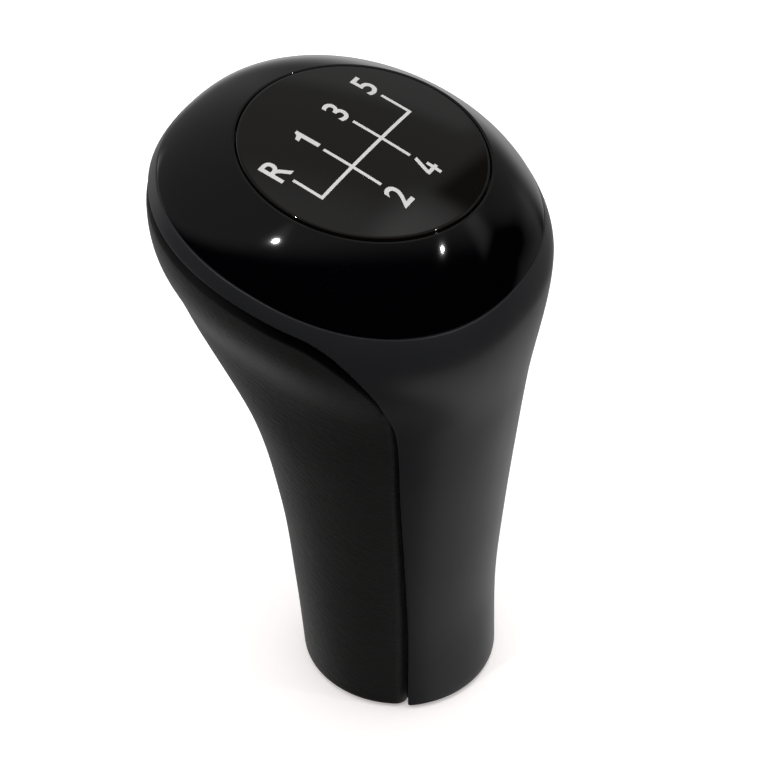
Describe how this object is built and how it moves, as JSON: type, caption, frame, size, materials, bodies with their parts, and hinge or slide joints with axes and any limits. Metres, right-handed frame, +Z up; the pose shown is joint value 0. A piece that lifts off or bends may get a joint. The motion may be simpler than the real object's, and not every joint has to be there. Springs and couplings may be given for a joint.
{
  "type": "gear shift knob",
  "caption": "Gear shift knob with a gloss domed crown, round gear pattern disc, satin rear spine and leather front, over a push-on lever socket.",
  "frame": {"origin": "on the lever's axis at the mouth of the lever bore, in the plane the foot stands on", "axes": "+Z up along the lever's axis, +Y towards the front of the car, +X to the driver's right"},
  "size_m": [0.0498, 0.0501, 0.0886],
  "materials": {
    "gloss_black": "piano-black lacquer",
    "disc_gloss": "clear-coated warm black",
    "adhesive_pad": "foam",
    "satin_black": "satin soft-touch",
    "leather": "fine-grained nappa",
    "panel_plastic": "as moulded",
    "core_nylon": "as moulded, glass filled",
    "damper_rubber": "matt",
    "socket_plastic": "as moulded",
    "spring_steel": "drawn wire",
    "foil": "hot-stamped foil"
  },
  "bodies": {
    "root": {"head_cap": "gloss_black", "pattern_disc": "disc_gloss", "disc_pad": "adhesive_pad", "body_shell": "satin_black", "leather_cover": "leather", "front_panel": "panel_plastic", "core": "core_nylon", "damper_sleeve": "damper_rubber", "lever_socket": "socket_plastic", "retaining_ring": "spring_steel"}
  },
  "joints": []
}
